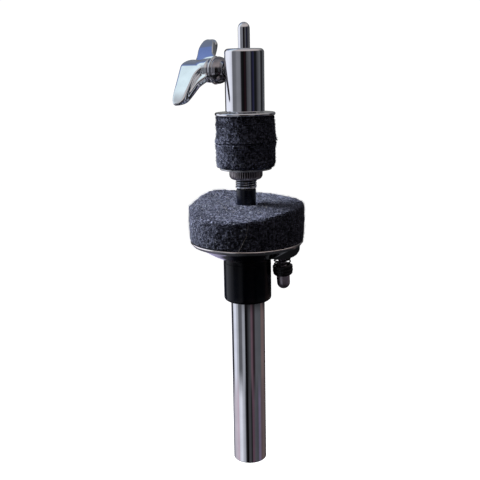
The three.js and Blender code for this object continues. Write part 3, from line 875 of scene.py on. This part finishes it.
# faces of the hub nose, which get the darkened chrome as a painted dark reflection
nose = []
for p in handle.data.polygons:
    c = p.center / MM
    r = math.hypot(c.x, c.y)
    nose.append(c.z < 17.1 or (18.45 < c.z < 20.3 and r < 6.9))
co = wing_frame(co, ROLL)
root, along = np.array([-25.5, 14.4, 224.2]), np.array([0.391, 0.743, 0.542])
q = (co - root) @ along
off = co - root - q[:, None] * along
a = (-0.09 * np.clip((q - 3) / 6, 0, 1))[:, None]
co = co - off + off * np.cos(a) + np.cross(along, off) * np.sin(a)
co = (co + np.clip((q - 5) / 24, 0, 1)[:, None] * np.array([-1.7, -2.5, 0.3])) * MM
handle.data.vertices.foreach_set("co", co.astype(np.float32).ravel())
handle.data.update()
bm = bmesh.new()
bm.from_mesh(handle.data)
bmesh.ops.recalc_face_normals(bm, faces=bm.faces)
bm.to_mesh(handle.data)
bm.free()
handle.data.shade_smooth()
dress(handle, chrome_cast, "wing", ["wing_handle"])
# painted reflection: the hub nose faces take the darkened chrome
handle.data.materials.append(hub_shade_metal)
handle.data.polygons.foreach_set("material_index", np.array(nose, np.int32))

# ------------------------------------------------------------------ stage, light and camera
bpy.ops.mesh.primitive_grid_add(x_subdivisions=8, y_subdivisions=8, size=6, location=(0, 0.5, -0.35))
floor = bpy.context.object
floor.name = "floor"
fm = Mat("pale_floor", Roughness=0.9)
fm.set("Base Color", fm.mix(fm.spread(fm.noise(3, 3), 0, 1), (0.90, 0.90, 0.90), (0.94, 0.94, 0.94)))
fm.p.inputs["Emission Color"].default_value = (1, 1, 1, 1)
fm.p.inputs["Emission Strength"].default_value = 0.9
floor.data.materials.append(fm.m)
floor.visible_glossy = False
floor.visible_diffuse = False

world = bpy.data.worlds.new("studio")
scene.world = world
world.use_nodes = True
wt = world.node_tree
for x in list(wt.nodes):
    wt.nodes.remove(x)


def wn(kind, **props):
    x = wt.nodes.new(kind)
    for k, v in props.items():
        setattr(x, k, v)
    return x


def wmath(op, a, b=None):
    x = wn("ShaderNodeMath", operation=op)
    for i, v in enumerate((a, b)):
        if v is None:
            continue
        if isinstance(v, (int, float)):
            x.inputs[i].default_value = v
        else:
            wt.links.new(v, x.inputs[i])
    return x.outputs[0]


def wramp(fac, stops):
    """stops are (degrees round from the front, left negative, (r, g, b))."""
    x = wn("ShaderNodeValToRGB")
    r = x.color_ramp
    r.interpolation = "LINEAR"
    while len(r.elements) > 1:
        r.elements.remove(r.elements[-1])
    stops = [((d + 180) / 360, c if isinstance(c, tuple) else (c, c, c)) for d, c in stops]
    r.elements[0].position, r.elements[0].color = stops[0][0], (*stops[0][1], 1)
    for pos, c in stops[1:]:
        r.elements.new(pos).color = (*c, 1)
    wt.links.new(fac, x.inputs["Fac"])
    return x.outputs["Color"]


def wmix(fac, a, b):
    x = wn("ShaderNodeMix", data_type="RGBA")
    wt.links.new(fac, x.inputs[0])
    wt.links.new(a, x.inputs[6])
    wt.links.new(b, x.inputs[7])
    return x.outputs[2]


def wspread(v, lo, hi):
    x = wn("ShaderNodeMapRange", interpolation_type="SMOOTHSTEP")
    x.inputs["From Min"].default_value, x.inputs["From Max"].default_value = lo, hi
    wt.links.new(v, x.inputs["Value"])
    return x.outputs["Result"]


sep = wn("ShaderNodeSeparateXYZ")
wt.links.new(wn("ShaderNodeTexCoord").outputs["Generated"], sep.inputs[0])
round_ = wmath("ADD", wmath("DIVIDE", wmath("ARCTAN2", sep.outputs[0], wmath("MULTIPLY", sep.outputs[1], -1.0)), TAU), 0.5)
up = sep.outputs[2]
B = lambda g, b=1.0: (g, g * (1 + 0.02 * b), g * (1 + 0.12 * b))
level = wramp(round_, [(-180, 0.22), (-152, 0.05), (-142, 0.06), (-134, B(1.15)), (-100, B(1.15)), (-84, B(1.0)), (-77, B(0.80)), (-73, B(0.17)), (-54, B(0.19)), (-44, B(0.28)), (-26, B(0.25)), (-22, B(0.12)),
                       (-19, B(0.012)), (-6, B(0.005)), (2, (0.022, 0.009, 0.012)), (9, B(0.010)), (13, B(0.075)), (27, B(0.12)), (34, B(0.14)), (37, B(0.016)), (47, (0.014, 0.015, 0.040)), (52, (0.035, 0.035, 0.075)), (57, B(0.012)), (69, B(0.012)),
                       (75, B(0.05)), (87, B(0.11)), (101, B(0.15)), (106, B(0.02)), (120, B(0.02)), (128, B(0.10)), (140, B(0.10)), (180, 0.22)])
low1 = wramp(round_, [(-180, (0.52, 0.48, 0.70)), (-171, (0.46, 0.42, 0.64)), (-158, B(0.42)), (-150, B(0.06)), (-138, B(0.02)), (-126, 0.04), (-119, B(0.95, 1.4)), (-95, B(0.95, 1.4)), (-88, B(0.60)), (-76, B(0.55)), (-70, B(0.14)), (-48, B(0.15)), (-42, B(0.42)), (-28, B(0.45)), (-23, B(0.005)),
                      (-12, B(0.003)), (-6, B(0.03)), (0, B(0.05)), (5, B(0.09)), (12, B(0.08)), (18, (0.17, 0.105, 0.13)), (26, (0.13, 0.08, 0.10)), (32, (0.03, 0.015, 0.02)), (42, (0.035, 0.03, 0.035)), (48, B(0.12)), (90, B(0.11)),
                      (100, (0.20, 0.14, 0.13)), (122, (0.18, 0.13, 0.13)), (138, (0.12, 0.09, 0.09)), (148, B(0.015)), (180, B(0.010))])
low2 = wramp(round_, [(-180, (0.50, 0.46, 0.66)), (-170, (0.30, 0.28, 0.42)), (-162, B(0.06)), (-142, B(0.25)), (-134, (0.60, 0.56, 0.64)), (-104, (0.76, 0.68, 0.76)), (-82, (0.74, 0.58, 0.68)), (-74, B(0.9)), (-58, B(1.05)), (-44, B(0.62)), (-32, B(0.44)), (-27, B(0.05)), (-19, B(0.003)),
                      (-10, B(0.003)), (-4, B(0.07)), (5, B(0.07)), (10, B(0.04)), (17, B(0.01)), (22, (0.13, 0.07, 0.10)), (34, (0.12, 0.08, 0.10)), (40, B(0.10)), (62, B(0.075)), (72, (0.18, 0.14, 0.23)), (84, (0.17, 0.14, 0.20)), (92, (0.12, 0.085, 0.09)),
                      (110, (0.15, 0.11, 0.11)), (140, (0.12, 0.09, 0.09)), (150, B(0.02)), (180, B(0.012))])
high = wramp(round_, [(-180, (0.30, 0.31, 0.34)), (-154, (0.21, 0.24, 0.32)), (-132, (0.21, 0.25, 0.38)), (-127, (0.20, 0.28, 0.60)), (-119, (0.22, 0.30, 0.62)), (-114, (0.98, 1.14, 1.20)), (-96, (0.98, 1.12, 1.18)), (-80, (0.60, 0.62, 0.66)), (-45, (0.68, 0.62, 0.61)), (60, (0.66, 0.59, 0.57)), (110, (0.62, 0.56, 0.54)), (145, (0.30, 0.30, 0.31)), (180, (0.30, 0.31, 0.34))])
under = wramp(round_, [(-180, B(0.03)), (-150, B(0.05)), (-125, (0.16, 0.15, 0.20)), (-105, (0.15, 0.14, 0.18)), (-85, B(0.05)), (-50, B(0.03)), (0, B(0.010)), (60, B(0.012)), (95, B(0.022)), (120, B(0.015)), (180, B(0.02))])
zenith = wramp(round_, [(-180, (0.42, 0.42, 0.45)), (0, (0.50, 0.48, 0.49)), (180, (0.42, 0.42, 0.45))])
mid = wramp(round_, [(-180, (0.52, 0.48, 0.70)), (-171, (0.46, 0.42, 0.64)), (-164, B(0.05)), (-140, B(0.02)), (-130, 0.05), (-122, B(1.0)), (-95, B(1.0)), (-86, B(0.60)), (-76, B(0.50)), (-70, B(0.13)), (-48, B(0.13)), (-42, B(0.26)), (-28, B(0.20)), (-22, B(0.012)),
                     (0, B(0.008)), (40, B(0.010)), (88, B(0.014)), (98, (0.10, 0.07, 0.07)), (108, (0.10, 0.07, 0.07)), (116, B(0.02)), (180, B(0.010))])
env = wmix(wspread(up, -0.322, -0.300), low1, mid)
env = wmix(wspread(up, -0.205, -0.175), env, level)
env = wmix(wspread(wmath("MULTIPLY", up, -1.0), 0.385, 0.43), env, low2)
env = wmix(wspread(wmath("MULTIPLY", up, -1.0), 0.50, 0.60), env, under)
env = wmix(wspread(up, 0.28, 0.62), env, high)
env = wmix(wspread(up, 0.88, 0.96), env, zenith)
bg_env = wn("ShaderNodeBackground")
wt.links.new(env, bg_env.inputs["Color"])
paths = wn("ShaderNodeLightPath")
wt.links.new(wmath("SUBTRACT", 1.0, wmath("MULTIPLY", paths.outputs["Is Diffuse Ray"], 0.88)), bg_env.inputs["Strength"])
bg_white = wn("ShaderNodeBackground")
bg_white.inputs["Color"].default_value = (1, 1, 1, 1)
bg_white.inputs["Strength"].default_value = 1.05
mixer = wn("ShaderNodeMixShader")
wt.links.new(paths.outputs["Is Camera Ray"], mixer.inputs[0])
wt.links.new(bg_env.outputs[0], mixer.inputs[1])
wt.links.new(bg_white.outputs[0], mixer.inputs[2])
wt.links.new(mixer.outputs[0], wn("ShaderNodeOutputWorld").inputs["Surface"])


def softbox(name, azimuth, elevation, distance, size, power, colour=(1, 1, 1), shiny=False):
    """azimuth in degrees round from the front, left negative."""
    d = bpy.data.lights.new(name, "AREA")
    d.shape, d.size, d.energy, d.color = "SQUARE", size, power, colour
    o = bpy.data.objects.new(name, d)
    scene.collection.objects.link(o)
    a, e = math.radians(azimuth), math.radians(elevation)
    direction = Vector((math.sin(a) * math.cos(e), -math.cos(a) * math.cos(e), math.sin(e)))
    o.location = Vector((0, 0, 0.16)) + direction * distance
    o.rotation_euler = (-direction).to_track_quat("-Z", "Y").to_euler()
    o.visible_glossy = shiny
    o.visible_camera = False
    return o


softbox("key", -110, 36, 0.9, 0.40, 15.0, (0.93, 0.96, 1.0))
softbox("top_back", 175, 60, 0.9, 0.5, 0.7, (0.95, 0.97, 1.0))

cam_data = bpy.data.cameras.new("camera")
cam_data.lens, cam_data.sensor_width, cam_data.clip_start, cam_data.clip_end = 56.175, 36.0, 0.01, 50
cam = bpy.data.objects.new("camera", cam_data)
scene.collection.objects.link(cam)
cam.matrix_world = Matrix.Translation((-0.0039, -0.407, 0.22575)) @ Matrix.Rotation(math.radians(77), 4, "X") @ Matrix.Rotation(math.radians(-1.0), 4, "Z")
scene.camera = cam
scene.view_settings.view_transform = "Standard"
scene.view_settings.look = "None"
